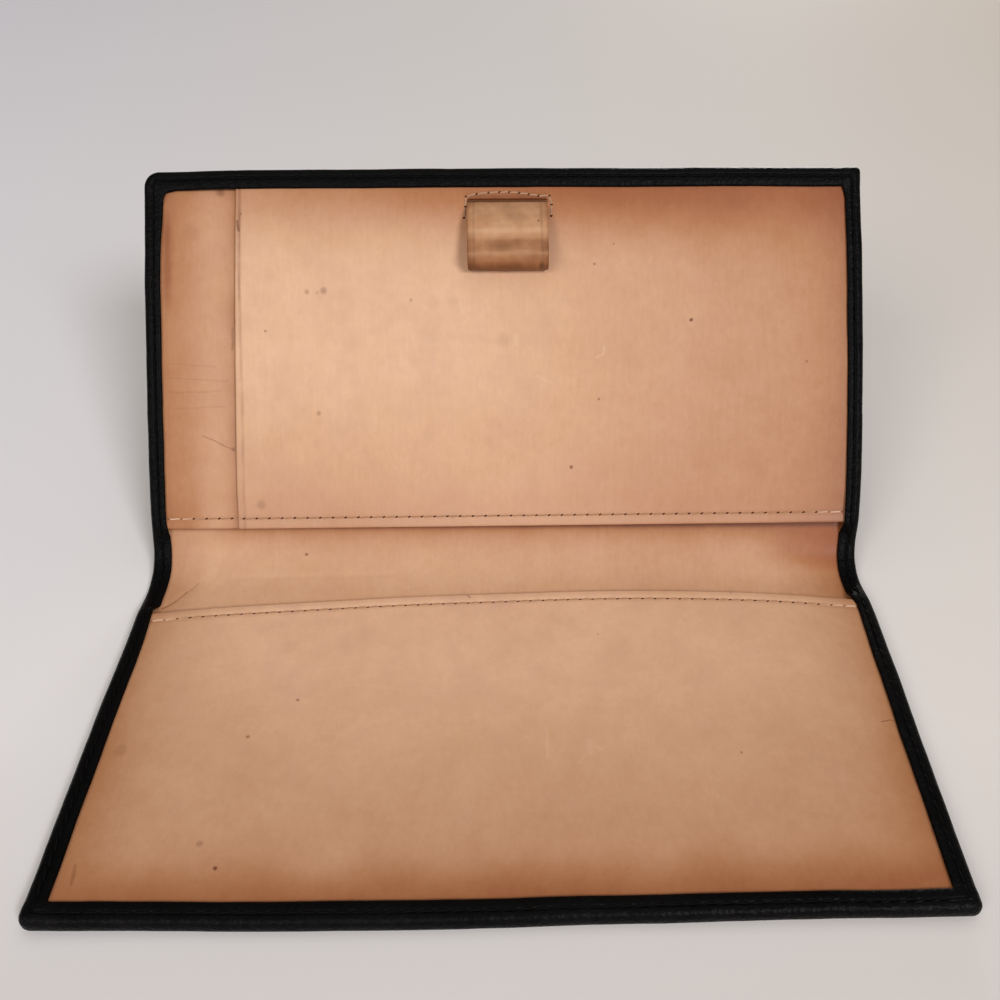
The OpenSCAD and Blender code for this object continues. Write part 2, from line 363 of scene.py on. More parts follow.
TAN_STOPS = [
    (0.0, "#ecc19f"), (0.12, "#e0b48f"), (0.21, "#d7a984"), (0.35, "#ca9975"), (0.53, "#b9835a"),
    (0.75, "#a16740"), (1.0, "#854c2a"),
]
calf = calf_leather(
    "vegetable_tanned_calf_leather",
    TAN_STOPS,
    spots=[
        (44.5, 150.8, 0.6, 0.9), (16.0, 116.3, 0.6, 0.75), (22.5, 132.4, 0.45, 0.65), (-56.7, 148.8, 0.45, 0.5),
        (-44.2, 129.4, 0.7, 0.4), (-46.6, 158.0, 0.8, 0.34), (-42.7, 158.3, 1.1, 0.4), (-44.2, 157.9, 0.6, 0.2),
        (-48.4, 95.1, 0.55, 0.7), (21.6, 164.1, 0.5, 0.5), (26.2, 168.8, 0.4, 0.4), (-22.0, 155.9, 0.45, 0.35),
        (-0.1, 146.3, 2.4, 0.14), (-12.0, 155.7, 1.8, 0.08), (-65.2, 121.0, 0.7, 0.5), (72.0, 141.0, 0.4, 0.5),
        (-74.7, 172.6, 2.6, 0.12), (-67.4, 182.0, 1.4, 0.5), (-58.6, 107.6, 1.5, 0.25),
        (-62.2, 176.5, 0.4, 0.5),
    ],
    scratches=[
        ((-72.3, 124.2), (-64.9, 120.7), 0.22, 0.4), ((-80, 138.0), (-66, 137.2), 0.3, 0.13),
        ((-80.5, 134.6), (-68, 134.8), 0.35, 0.14), ((-79, 130.6), (-67, 131.2), 0.3, 0.13),
        ((-80, 141.5), (-69, 140.6), 0.35, 0.1), ((-80.6, 78.6), (-78.2, 80.9), 0.28, 0.75),
        ((-78.2, 80.9), (-76.2, 84.0), 0.24, 0.6), ((-76.2, 84.0), (-73.9, 86.5), 0.2, 0.4),
        ((-63.1, 174.8), (-62.8, 172.6), 0.45, 0.7), ((-64.9, 144.7), (-64.7, 149.7), 0.4, 0.35),
    ],
    scuffs=[
        ((23.8, 144.6), (23.5, 142.8), 0.4, 0.28), ((23.5, 142.8), (22.0, 142.3), 0.4, 0.22),
        ((7.7, 138.0), (11.4, 136.2), 0.4, 0.19), ((-10.2, 154.8), (-9.9, 152.6), 0.4, 0.22),
        ((-8.2, 155.2), (-8.0, 153.4), 0.4, 0.19), ((3.0, 147.2), (3.0, 145.6), 1.1, 0.17),
    ],
    hair=0.07,
)
pocket_calf = calf_leather(
    "vegetable_tanned_calf_leather_pocket",
    TAN_STOPS,
    spots=[
        (-52.8, 11.1, 0.6, 0.9), (-56.8, 16.1, 0.8, 0.35), (-43.8, 49.9, 0.5, 0.6), (-52.6, 40.5, 0.55, 0.6),
        (48.2, 35.3, 0.4, 0.5), (-77.9, 37.5, 1.8, 0.22), (21.0, 68.0, 0.3, 0.4),
    ],
    scratches=[
        ((-78.7, 11.8), (-78.2, 8.2), 0.5, 0.35), ((78.6, 42.9), (80.4, 43.3), 0.22, 0.7),
        ((80.4, 43.3), (82.0, 42.4), 0.2, 0.6), ((-8.9, 80.9), (-8.3, 79.9), 0.25, 0.6),
        ((53.0, 81.8), (53.5, 80.9), 0.22, 0.5),
    ],
    scuffs=[
        ((17.6, 38.6), (17.8, 35.4), 1.0, 0.17), ((17.8, 37.6), (20.4, 36.6), 0.6, 0.14),
        ((17.0, 35.4), (15.2, 33.2), 0.5, 0.11), ((8.9, 41.9), (8.9, 34.5), 0.4, 0.17),
        ((-43.6, 57.8), (-34.4, 58.9), 0.45, 0.12), ((-32.3, 54.0), (-22.0, 52.6), 0.4, 0.11),
        ((12.6, 64.9), (19.3, 66.6), 0.45, 0.17), ((20.8, 70.0), (22.8, 71.6), 0.4, 0.14),
    ],
    hair=0.025,
    lie=(0.12, 1, 0.3),
)
soiled_calf = calf_leather(
    "vegetable_tanned_calf_leather_soiled",
    [(0.0, "#dfb088"), (0.3, "#c8956b"), (0.55, "#b07b54"), (0.8, "#8e5e3c"), (1.0, "#6b4229")],
    spots=[(8.2, 173.3, 0.35, 0.8), (8.9, 162.8, 0.75, 0.9)],
    stain_and_shade_tint="#6a452a",
    rough=0.54,
    grain=1.4,
    hair=0.14,
    lie=(0.16, 1, 0.6),
    blotch=2.6,
    flush=0.0,
)
print("calf leather has", len(calf.node_tree.nodes), "nodes")

# %% [markdown]
# ## Black glove-tanned cowhide
# Glove tanning keeps cowhide soft and full. It is dyed through and only lightly finished, so it
# shows a fine pebbled grain, under a millimetre across, and a low satin shine that breaks up
# along rubbed edges. Where the spine folds, the grain pulls into cross wrinkles.

# %% Outer leather material
PEBBLE = 0.75  # mm across one cell of the grain


def glove_cowhide(name):
    material, tree, where = start_material(name)
    worn = add(tree, "Attribute", attribute_name="worn", out="Fac")
    folded = add(tree, "Attribute", attribute_name="folded", out="Fac")
    clouds = add(tree, "TexNoise", {"Vector": where, "Scale": 1 / 9, "Detail": 5, "Roughness": 0.65})
    rubbed = add(tree, "Math", {0: clouds, 1: 2.6, 2: -0.75}, operation="MULTIPLY_ADD", use_clamp=True)
    rubbed = add(tree, "Math", {0: rubbed, 1: worn}, operation="MULTIPLY", use_clamp=True)
    colour = add(tree, "ValToRGB", {0: clouds}, stops=[(0.3, "#020202"), (0.7, "#060607")])
    colour = add(tree, "Mix", {0: rubbed, 6: colour, 7: "#0e0d0e"}, data_type="RGBA", out=2)
    grid = {"Vector": where, "Scale": 1 / PEBBLE, "Smoothness": 0.35}
    cells = add(tree, "TexVoronoi", grid, feature="SMOOTH_F1")
    fine = add(tree, "TexNoise", {"Vector": where, "Scale": 1 / 0.35, "Detail": 4})
    pull = add(tree, "VectorMath", {0: where, 1: (0.12, 1, 0.12)}, operation="MULTIPLY")
    pulls = add(tree, "TexNoise", {"Vector": pull, "Scale": 1 / 1.5, "Detail": 3})
    pulls = add(tree, "Math", {0: pulls, 1: folded}, operation="MULTIPLY")
    relief = add(tree, "Math", {0: fine, 1: 0.3, 2: cells}, operation="MULTIPLY_ADD")
    relief = add(tree, "Math", {0: pulls, 1: 1.8, 2: relief}, operation="MULTIPLY_ADD")
    bump = add(tree, "Bump", {"Height": relief, "Strength": 0.45, "Distance": 0.0003})
    gloss = add(tree, "Math", {0: clouds, 1: 0.2, 2: 0.36}, operation="MULTIPLY_ADD")
    gloss = add(tree, "Math", {0: rubbed, 1: -0.08, 2: gloss}, operation="MULTIPLY_ADD")
    # Soft pigment finishes reflect less than bare plastic does, hence the low specular level.
    skin = {"Base Color": colour, "Roughness": gloss, "Normal": bump, "IOR": 1.48, "Specular IOR Level": 0.08}
    add(tree, "OutputMaterial", {0: add(tree, "BsdfPrincipled", skin)})
    return material


cowhide = glove_cowhide("black_glove_tanned_cowhide")
print("outer leather:", cowhide.name)

# %% [markdown]
# ## Thread
# The seams are sewn with bonded nylon, twisted from three strands and about 0.4 mm thick, black
# in the border and tan or cream inside. The twist shows as slanting bands, drawn here from each
# thread's own length and girth. Awl holes are dark because no light reaches into them.

# %% Thread and hole materials
def nylon_thread(name, light, dark):
    material, tree, _ = start_material(name)
    twist = add(tree, "Attribute", attribute_name="twist", out="Vector")
    bands = add(tree, "TexWave", {"Vector": twist, "Scale": 0.55}, bands_direction="DIAGONAL", out="Fac")
    colour = add(tree, "Mix", {0: bands, 6: dark, 7: light}, data_type="RGBA", out=2)
    clean = add(tree, "Attribute", attribute_name="clean", out="Fac")
    colour = add(tree, "Mix", {0: clean, 6: colour, 7: "#e4c4aa"}, data_type="RGBA", out=2)
    bump = add(tree, "Bump", {"Height": bands, "Strength": 0.4, "Distance": 0.00008})
    skin = {"Base Color": colour, "Normal": bump, "Roughness": 0.6, "IOR": 1.53, "Specular IOR Level": 0.1}
    add(tree, "OutputMaterial", {0: add(tree, "BsdfPrincipled", skin)})
    return material


def awl_hole(name, rim, depth):
    material, tree, where = start_material(name)
    torn = add(tree, "TexNoise", {"Vector": where, "Scale": 1 / 0.4})
    colour = add(tree, "Mix", {0: torn, 6: rim, 7: depth}, data_type="RGBA", out=2)
    skin = add(tree, "BsdfPrincipled", {"Base Color": colour, "Roughness": 0.9, "Specular IOR Level": 0.05})
    add(tree, "OutputMaterial", {0: skin})
    return material


black_thread = nylon_thread("bonded_nylon_thread_black", "#060606", "#010101")
tan_thread = nylon_thread("bonded_nylon_thread_tan", "#c79c78", "#a5795a")
cream_thread = nylon_thread("bonded_nylon_thread_cream", "#d2ac8d", "#a87c5e")
tan_hole = awl_hole("awl_hole_in_calf", "#5c2d18", "#38170b")
print("threads:", black_thread.name, tan_thread.name, cream_thread.name)

# %% [markdown]
# ## From drawings to meshes
# A sheet is a grid of points on its face, the same grid on its back, and a wall round the rim, so
# it is a closed solid as real leather is. Points that fall together are welded. Each vertex keeps
# its flat coordinates as an attribute: materials read them, and so stay put when the cover folds.

# %% Mesh helpers
def spaced(start, stop, step, fine=()):
    """Positions from start to stop, closer together in each (low, high, step) stretch."""
    keep = [start, stop]
    coarse = np.linspace(start, stop, max(2, int(round((stop - start) / step)) + 1))
    for value in coarse:
        if not any(low < value < high for low, high, _ in fine):
            keep.append(value)
    for low, high, close in fine:
        low, high = max(low, start), min(high, stop)
        if high > low:
            keep += list(np.linspace(low, high, int(round((high - low) / close)) + 1))
    keep = sorted(keep)
    return np.array([v for i, v in enumerate(keep) if i == 0 or v - keep[i - 1] > 1e-4])


def weld(points, faces, values):
    """Merges points that fall together and drops the faces that vanish."""
    _, first, back = np.unique(np.round(points, 4), axis=0, return_index=True, return_inverse=True)
    back = back.reshape(-1)
    kept = []
    for face in faces:
        ring = []
        for corner in face:
            corner = int(back[corner])
            if corner not in ring:
                ring.append(corner)
        if len(ring) > 2:
            kept.append(ring)
    return points[first], kept, {k: v[first] for k, v in values.items()}


def to_mesh(name, points, faces, values, material, normals=None):
    """An object from flat points in mm, faces and per-vertex values."""
    mesh = bpy.data.meshes.new(name)
    mesh.from_pydata(place(points).tolist(), [], faces)
    for key, value in {"leather": points, **values}.items():
        kind = "FLOAT_VECTOR" if value.ndim == 2 else "FLOAT"
        field = mesh.attributes.new(key, kind, "POINT").data
        field.foreach_set("vector" if value.ndim == 2 else "value", value.astype(np.float32).ravel())
    mesh.polygons.foreach_set("use_smooth", [True] * len(mesh.polygons))
    mesh.set_sharp_from_angle(angle=math.radians(50))
    if normals is not None:
        mesh.normals_split_custom_set(normals)
    mesh.materials.append(material)
    piece = bpy.data.objects.new(name, mesh)
    bpy.context.scene.collection.objects.link(piece)
    return piece


def grid_faces(rows, columns, start=0, flip=False):
    index = np.arange(rows * columns).reshape(rows, columns) + start
    quads = np.stack([index[:-1, :-1], index[:-1, 1:], index[1:, 1:], index[1:, :-1]], -1).reshape(-1, 4)
    return quads[:, ::-1].tolist() if flip else quads.tolist()


def closed_solid(front, back, values, own_wall):
    """Closed solid between two grids of points, as points, faces and values. A wall with its own
    points keeps a crisp line between the face and the cut edge."""
    rows, columns = front.shape[:2]
    count = rows * columns
    faces = grid_faces(rows, columns) + grid_faces(rows, columns, count, flip=True)
    index = np.arange(count).reshape(rows, columns)
    rim = np.concatenate([index[0, :-1], index[:-1, -1], index[-1, :0:-1], index[:0:-1, 0]])
    points = np.concatenate([front.reshape(-1, 3), back.reshape(-1, 3)])
    full = {k: np.tile(v.reshape(-1), 2) for k, v in values.items()}
    near, far = rim, rim + count
    if own_wall:
        points = np.concatenate([points, points[near], points[far]])
        full = {k: np.concatenate([v, v[rim], v[rim]]) for k, v in full.items()}
        full["cut_edge"] = np.repeat([0.0, 1.0], [2 * count, 2 * len(rim)])
        near = 2 * count + np.arange(len(rim))
        far = near + len(rim)
    faces += np.stack([near, far, np.roll(far, -1), np.roll(near, -1)], -1).tolist()
    return points, faces, full


def sheet_of_leather(x, s, face, thick, values):
    """Closed solid of one thickness under grids of x, s and face height."""
    front, back = (np.stack([x, s, height], -1) for height in (face, face - thick))
    return closed_solid(front, back, values, own_wall=True)


print("spacing example:", spaced(0, 4, 1, [(1.5, 2.5, 0.5)]))

# %% [markdown]
# ## Two halves of one sheet
# A sheet that runs through the spine crosses two folds, and a blended piece may cross only one. So
# it is built whole, and cut in the middle of the spine into a lower and an upper object. Both keep
# the normals of the whole sheet, so light runs over the cut without a line.

# %% Cutting a sheet at the middle of the spine
SPINE_MIDDLE = 93.2


def two_halves(names, points, faces, values, material):
    whole = to_mesh("whole_sheet", points, faces, values, material)
    normals = np.empty(len(whole.data.loops) * 3, np.float32)
    whole.data.corner_normals.foreach_get("vector", normals)
    normals = normals.reshape(-1, 3)
    bpy.data.objects.remove(whole)
    starts = np.cumsum([0] + [len(f) for f in faces])
    on_lower = np.array([points[f, 1].mean() < SPINE_MIDDLE for f in faces])
    pieces = []
    for name, chosen in zip(names, (on_lower, ~on_lower)):
        picked = [i for i in range(len(faces)) if chosen[i]]
        used = sorted({c for i in picked for c in faces[i]})
        renumber = {c: i for i, c in enumerate(used)}
        part = [[renumber[c] for c in faces[i]] for i in picked]
        loops = np.concatenate([np.arange(starts[i], starts[i + 1]) for i in picked])
        own = {k: v[used] for k, v in values.items()}
        pieces.append(to_mesh(name, points[used], part, own, material, normals[loops].tolist()))
    return pieces


print("sheets are cut at s =", SPINE_MIDDLE, "mm")

# %% [markdown]
# ## The outer leather
# The real sheet lies flat outside, rolls round a thin edge and comes back over the inside as a
# border, sewn down near its middle. Its section is drawn once as a C and carried round the whole
# outline. The alternative, a bevelled slab, would have no turned edge for the panels to lie under.

# %% The turned edge's section
def section(x, s):
    """The C-shaped section at every station (x, s): rows of (inset, height)."""
    roll = 1.5
    shift = border_width(x, s) - 4.55
    # Each row is (inset, height, share of the border's extra width, share of its height).
    rows = [
        (5.6, 0.0, 0, 0), (4.0, 0.0, 0, 0), (2.9, 0.0, 0, 0), (2.6, 0.04, 0, 0), (2.45, 0.12, 0, 0),
        (2.3, 0.17, 0, 0), (2.15, 0.12, 0, 0), (2.0, 0.04, 0, 0), (1.8, 0.0, 0, 0),
    ]
    for step in range(13):
        turn = math.radians(-90 + 15 * step)
        rows.append((roll - roll * math.cos(turn), 0.0, 0, 0.5 + 0.5 * math.sin(turn)))
    rows += [
        (1.7, 0.03, 0, 1), (1.9, 0.0, 0, 1), (2.05, -0.1, 0, 1), (2.17, -0.2, 0, 1), (2.3, -0.24, 0, 1),
        (2.43, -0.2, 0, 1), (2.58, -0.08, 0, 1), (2.8, 0.0, 0.15, 1), (3.2, 0.05, 0.4, 1), (3.7, 0.05, 0.7, 1),
        (4.1, 0.0, 1, 1), (4.32, -0.07, 1, 1), (4.47, -0.2, 1, 1), (4.54, -0.36, 1, 1), (4.52, -0.52, 1, 1),
        (4.44, -0.64, 1, 1), (4.3, -0.7, 1, 1), (3.0, -0.7, 0, 1), (1.6, -0.7, 0, 1), (1.42, -0.85, 0, 1),
        (1.4, 1.2, 0, 0), (1.5, 1.02, 0, 0), (1.7, 1.0, 0, 0), (4.0, 1.0, 0, 0), (5.6, 1.0, 0, 0),
    ]
    inset = np.stack([a + share * shift for a, _, share, _ in rows])
    tops = [border_top(x, s, np.clip((a - 1.8) / 1.2, 0, 1)) for a, *_ in rows]
    height = np.stack([low + share * top for (_, low, _, share), top in zip(rows, tops)])
    return inset, height


CORNERS = {("left", "front"): 2.3, ("right", "front"): 1.7, ("right", "top"): 1.3, ("left", "top"): 3.6}
EDGE_S = spaced(3.4, LENGTH - 3.4, 1.5, [(74.5, 82, 0.35), (92.2, 94.2, 0.5), (100, 104.5, 0.35)])
EDGE_S = np.unique(np.append(EDGE_S, SPINE_MIDDLE))
EDGE_X = spaced(-HALF + 3.4, HALF - 3.4, 1.5, [(-66, -62, 0.3)])
print("stations along a side and along the front:", len(EDGE_S), len(EDGE_X))

# %% Carrying the section round the outline
def outline():
    """Stations round the cover: (x sign or x, s or s end, corner angle or None, corner radius)."""
    def corner(sign, top_end, which, start):
        radius = CORNERS["left" if sign < 0 else "right", which]
        return [("corner", sign, top_end, a, radius) for a in np.linspace(start, start + 90, 9)]

    ring = [("side", -1, s) for s in EDGE_S[::-1]] + corner(-1, 0, "front", 180)
    ring += [("end", x, 0) for x in EDGE_X] + corner(1, 0, "front", 270)
    ring += [("side", 1, s) for s in EDGE_S] + corner(1, 1, "top", 0)
    ring += [("end", x, 1) for x in EDGE_X[::-1]] + corner(-1, 1, "top", 90)
    return ring


def station(entry, inset):
    """Where a station's point lies for a given inset from the edge."""
    if entry[0] == "side":
        return entry[1] * (HALF - inset), min(max(entry[2], inset), LENGTH - inset)
    if entry[0] == "end":
        return min(max(entry[1], inset - HALF), HALF - inset), (LENGTH - inset if entry[2] else inset)
    _, sign, top_end, turn, radius = entry
    if inset >= radius:
        return sign * (HALF - inset), (LENGTH - inset if top_end else inset)
    centre_s = LENGTH - radius if top_end else radius
    reach = radius - inset
    turn = math.radians(turn)
    return sign * (HALF - radius) + reach * math.cos(turn), centre_s + reach * math.sin(turn)


def rounded(x, s):
    """A flat place to a tenth of a micron, to find the same point again."""
    return round(float(x), 4), round(float(s), 4)


ring = outline()
edge_points = np.array([station(e, 2.3) for e in ring])
insets, heights = section(*edge_points.T)
rim = np.empty((len(insets), len(ring), 3))
for row in range(len(insets)):
    for column, entry in enumerate(ring):
        rim[row, column, :2] = station(entry, insets[row, column])
    rim[row, :, 2] = heights[row]
# At each corner the side's turned edge laps over the end's, 0.25 mm thicker.
at_end = (rim[..., 1] < 4.6) | (rim[..., 1] > LENGTH - 4.6)
lapped = (np.abs(rim[..., 0]) > HALF - 4.7) & at_end & (rim[..., 2] > 2.3)
rim[..., 2] += 0.25 * lapped
# The edge itself wanders a little, and the band between the leaves is puckered.
wander = 0.10 * swells(rim[..., 0], rim[..., 1], 22, 11) + 0.05 * swells(rim[..., 0], rim[..., 1], 7, 12)
on_side = np.abs(rim[..., 0]) > HALF - 6
rim[..., 0] += np.where(on_side, wander, 0)
rim[..., 1] += np.where(on_side, 0, wander)
print("rim mesh:", rim.shape)

# %% The whole outer sheet, then its two halves
def cover_points():
    """Rim, outer face and inner face as one welded mesh."""
    rows, columns = rim.shape[:2]
    points = [rim.reshape(-1, 3)]
    index = np.arange(rows * columns).reshape(rows, columns)
    nxt = np.roll(index, -1, axis=1)
    faces = np.stack([index[:-1], nxt[:-1], nxt[1:], index[1:]], -1).reshape(-1, 4).tolist()
    for row, height, flip in ((0, 0.0, True), (rows - 1, OUTER, False)):
        start = sum(len(p) for p in points)
        inner = insets[0, 0]
        xs = np.append(EDGE_X[np.abs(EDGE_X) < HALF - inner], [inner - HALF, HALF - inner])
        ss = np.append(EDGE_S[(EDGE_S > inner) & (EDGE_S < LENGTH - inner)], [inner, LENGTH - inner])
        xs, ss = np.unique(xs), np.unique(ss)
        x, s = np.meshgrid(xs, ss)
        face = np.stack([x, s, np.full_like(x, height)], -1)
        # The border of this grid takes the rim's own points, so that the two weld.
        ends = {rounded(*station(e, inner)): rim[row, i] for i, e in enumerate(ring)}
        for i in range(len(ss)):
            for j in range(len(xs)) if i in (0, len(ss) - 1) else (0, len(xs) - 1):
                face[i, j] = ends.get(rounded(xs[j], ss[i]), face[i, j])
        points.append(face.reshape(-1, 3))
        faces += grid_faces(len(ss), len(xs), start, flip=flip)
    return np.concatenate(points), faces


points, faces = cover_points()
x, s, w = points.T
outside = ease((0.6 - w) / 0.6)
# Outside, the leather swells gently inwards, never below the table.
hollow = outside * 0.16 * (swells(x, s, 30, 21) + 1)
for inwards in (HALF - np.abs(x), s, LENGTH - s):
    hollow = hollow * ease((inwards - 3) / 10)
points[:, 2] += hollow
rubbed_edge = np.maximum(bell(HALF - np.abs(x), 1.3), np.maximum(bell(s, 1.3), bell(LENGTH - s, 1.3)))
values = {
    "worn": np.clip(rubbed_edge, 0, 1) + 0.5 * bell(s - 91, 7) * outside,
    "folded": bell(s - 91, 8),
}
points, faces, values = weld(points, faces, values)
outer_pair = two_halves(("outer_leather_lower", "outer_leather_upper"), points, faces, values, cowhide)
print("outer leather:", [len(p.data.vertices) for p in outer_pair], "vertices")

# %% [markdown]
# ## Patina and painted shading on the tan sheets
# Hands darken a cover where they hold it: along the free edges, beside the border, and in the
# spine. For each sheet one function sums those zones, with some painted shade and a rise to the
# right that is partly painted shade, into the patina_and_shading number. A zone is a strength that
# fades with the distance from an edge, so it follows the sheet's own shape. Patches painted by hand
# would do as well, but they wouldn't move with an edge that is measured again.

# %% Where the tan leather has darkened
def fade(distance, length, power=1.0):
    """1 at distance 0, dying away over length."""
    return np.exp(-((np.clip(distance, 0, None) / length) ** power))


def upper_patina_and_shading(x, s):
    # The rise towards the right is partly handling and partly painted shade of the light from the left.
    base = 0.05 + 0.30 * ease((x + 20) / 80) + 0.34 * fade(82 - x, 10)
    low_left = (0.06 + 0.09 * ease((10 - x) / 50)) * ease((142 - s) / 30)
    low_left = low_left + (0.06 + 0.11 * ease((10 - x) / 50)) * fade(s - 103, 6)
    top = (0.47 + 0.12 * bell(x - 12, 30) - 0.13 * ease((x - 50) / 20)) * fade(LENGTH - 5 - s, 9.5, 1.6)
    top = top * (0.72 + 0.28 * ease((x + 64) / 24))
    # At its right end the panel just above the hem is darkened as painted shade.
    hem_end_shade = 0.14 * fade(s - hem_at(x), 2) * ease((x - 58) / 16)
    return base + low_left + top + hem_end_shade


def strip_patina_and_shading(x, s):
    left = (0.21 + 0.10 * fade(s - 103, 14)) * (1 - ease((x + 78) / 9))
    # The last term is a painted shadow of the register pocket's open edge.
    left = left + 0.10 * fade(x + 81, 1.5) + 0.20 * fade(open_edge(s) - x, 1.5)
    stain = 0.26 * bell(x + 80.2, 1.0) * ease((s - 150) / 12) * ease((179 - s) / 6)
    return 0.25 + left + stain + 0.14 * fade(LENGTH - 5 - s, 7, 1.5)


def lower_patina_and_shading(x, s):
    # The small rise towards the right is partly painted shade of the light from the left.
    slope = 0.03 + 0.30 * ease((72 - s) / 72) + 0.05 * ease((x + 40) / 100)
    sides = 0.43 * fade(x + 81, 9) + 0.42 * fade(81 - x, 9)
    uneven = 0.38 + 0.08 * swells(x, 0, 34, 81) - 0.12 * fade(x + 80, 14) - 0.10 * fade(80 - x, 16)
    front = uneven * fade(s - 4.6, 6.2 + 1.4 * swells(x, 0, 22, 82), 1.8)
    return slope + sides * (1 - 0.85 * fade(s - 4, 14)) + front


def band_patina_and_shading(x, s):
    up = ease((s - 89) / 6)
    # The band darkens towards both ends; at the right end, most of all near the hem, this is partly painted
    # shade.
    ends = 0.26 * (1 - ease((x + 82) / 12)) + (0.34 + 0.18 * up) * ease((x - 62 + 6 * up) / 26)
    # Right beside the right border the darkening is painted shade.
    ends = ends + 0.16 * fade(81.3 - x, 2.2)
    # Painted shadow of the hem on the band below it.
    hem_shadow = (0.30 * fade(102 - s, 5) + 0.16 * fade(102 - s, 1.8)) * ease((80 - np.abs(x)) / 20)
    # The rise towards the right is partly painted shade of the light from the left.
    return 0.18 + 0.10 * ease((x + 20) / 80) + ends + hem_shadow


print("patina, palest and darkest:", upper_patina_and_shading(-45.0, 150.0).round(2), lower_patina_and_shading(0.0, 5.0).round(2))

# %% [markdown]
# ## The lining
# One tan sheet lies behind both pockets and shows only in the spine. Where it bends it is a little
# loose, so it swells off the outer leather and takes a faint crease beside the mouth.

# %% Lining
def crease(x, s, start, end, depth, width=0.5):
    """A soft groove between two points of the flat drawing."""
    (x0, s0), (x1, s1) = start, end
    length = math.hypot(x1 - x0, s1 - s0)
    ux, us = (x1 - x0) / length, (s1 - s0) / length
    t = (x - x0) * ux + (s - s0) * us
    across = -(x - x0) * us + (s - s0) * ux
    ends = ease(t / 3 + 0.5) * ease((length - t) / 3 + 0.5)
    return -depth * bell(across, width) * ends


def lining_face(x, s):
    inside = ease((HALF - 5 - np.abs(x)) / 9)
    band = bell(s - 91.5, 6.5)
    height = LINING_TOP - 0.04 + inside * band * (0.32 + 0.14 * swells(x, s * 2.5, 40, 31))
    height = height + crease(x, s, (-80.6, 78.6), (-74.4, 86.2), 0.22, 0.4)
    height = height + crease(x, s, (-66, 88.2), (-25, 89.2), 0.12, 0.7)
    return height + inside * 0.03 * swells(x, s, 9, 32)


bend_rows = [(70, 78.5, 1), (78.5, 84.5, 0.25), (84.5, 99, 0.5), (99, 104, 0.2)]
lining_s = np.unique(np.append(spaced(TUCKED, 118, 4, bend_rows), SPINE_MIDDLE))
lining_x = spaced(-PANEL_HALF, PANEL_HALF, 1.2, [(-PANEL_HALF, -60, 0.6)])
x, s = np.meshgrid(lining_x, lining_s)
values = {
    "patina_and_shading": band_patina_and_shading(x, s),
    "oil": 0.4 * ease((x - 62) / 18) * ease((s - 86) / 8),
    # A dark line under the hem's edge and one along the check pocket's mouth, each partly dirt and partly painted
    # shade where the sheets meet.
    "dirt_and_shade": 1.1 * fade(102.5 - s, 1.0, 2.5) + 0.6 * fade(s - mouth_at(x), 0.6, 2),
}
points, faces, values = sheet_of_leather(x, s, lining_face(x, s), 0.45, values)
lining_pair = two_halves(("lining_leather_lower", "lining_leather_upper"), points, faces, values, calf)
print("lining:", [len(p.data.vertices) for p in lining_pair], "vertices")

# %% [markdown]
# ## The check pocket
# This panel is the thickest tan sheet. It is sewn down under the border on three sides, and its
# bowed mouth is stitched about 3 mm in from the edge. Its rows follow the mouth's curve, so that
# the rounded edge and the seam's shallow groove run true along it.

# %% Check pocket
MOUTH_SEAM = 2.9  # distance of the seam from the mouth


def rounded_edge(distance, radius=0.45, drop=0.45):
    """How far a face falls as it nears a cut edge."""
    t = np.clip(1 - distance / radius, 0, 1)
    return drop * (1 - np.sqrt(1 - t * t))


def check_face(x, s):
    from_mouth = mouth_at(x) - s
    from_border = np.minimum(HALF - 4.6 - np.abs(x), s - 4.6)
    swell = 0.30 * ease(from_border / 16) * ease((from_mouth - 3) / 14)
    uneven = (0.16 * swells(x, s, 52, 41) + 0.05 * swells(x, s, 17, 42)) * ease(from_border / 10)
    seam = -0.13 * bell(from_mouth - MOUTH_SEAM, 0.55) + 0.05 * bell(from_mouth - 1.5, 0.7)
    return CHECK_TOP - 0.05 + swell + uneven + seam - rounded_edge(from_mouth, 0.6, 0.5)


share = spaced(0, 1, 1.2 / 80, [(0.94, 0.99, 0.0025), (0.99, 1, 0.0015)])
check_x = spaced(-PANEL_HALF, PANEL_HALF, 1.2)
x, share = np.meshgrid(check_x, share)
s = TUCKED + (mouth_at(x) - TUCKED) * share
values = {
    "patina_and_shading": lower_patina_and_shading(x, s),
    "oil": 0.14 * fade(s - 4.6, 8, 1.8),
    "dirt_and_shade": 0.10 * bell(mouth_at(x) - s, 1.0),
}
points, faces, values = sheet_of_leather(x, s, check_face(x, s), 1.05, values)
check_pocket = to_mesh("check_pocket_panel", points, faces, values, pocket_calf)
print("check pocket:", len(check_pocket.data.vertices), "vertices")

# %% [markdown]
# ## The facing and the register pocket
# The facing covers the whole upper leaf; the register pocket lies over it and is open at its left
# edge, where the maker pressed a fine line 1 to 1.6 mm in. Both end in one hem, stitched together,
# so the panel is squeezed thin there and swells out above the seam.

# %% Facing and register pocket
HEM_SEAM = 2.5


def hem_lift(from_hem):
    """The hem's free edge curls off the lining a little, which opens a dark gap under it."""
    return 0.34 * fade(from_hem, 1.3)


def hem_seam(from_hem, depth):
    """The groove of the hem's seam, and the soft ridge below it."""
    return -depth * bell(from_hem - HEM_SEAM, 0.5) + 0.10 * bell(from_hem - 1.3, 0.8)


def facing_face(x, s):
    from_hem = s - hem_at(x)
    uneven = 0.04 * swells(x, s, 13, 51)
    top = FACING_TOP - 0.04 + hem_seam(from_hem, 0.12) + uneven + hem_lift(from_hem)
    return top - rounded_edge(from_hem, 0.6, 0.45)


SLIT_S, SLIT_LOW, SLIT_HIGH = 179.1, -8.6, 10.6


def in_slit(x, s, width, share=1.0):
    """share inside the pen loop's slit, falling to 0 round it."""
    return share * bell(s - SLIT_S, width, 4) * ease((x - SLIT_LOW) / 0.4) * ease((SLIT_HIGH - x) / 0.4)


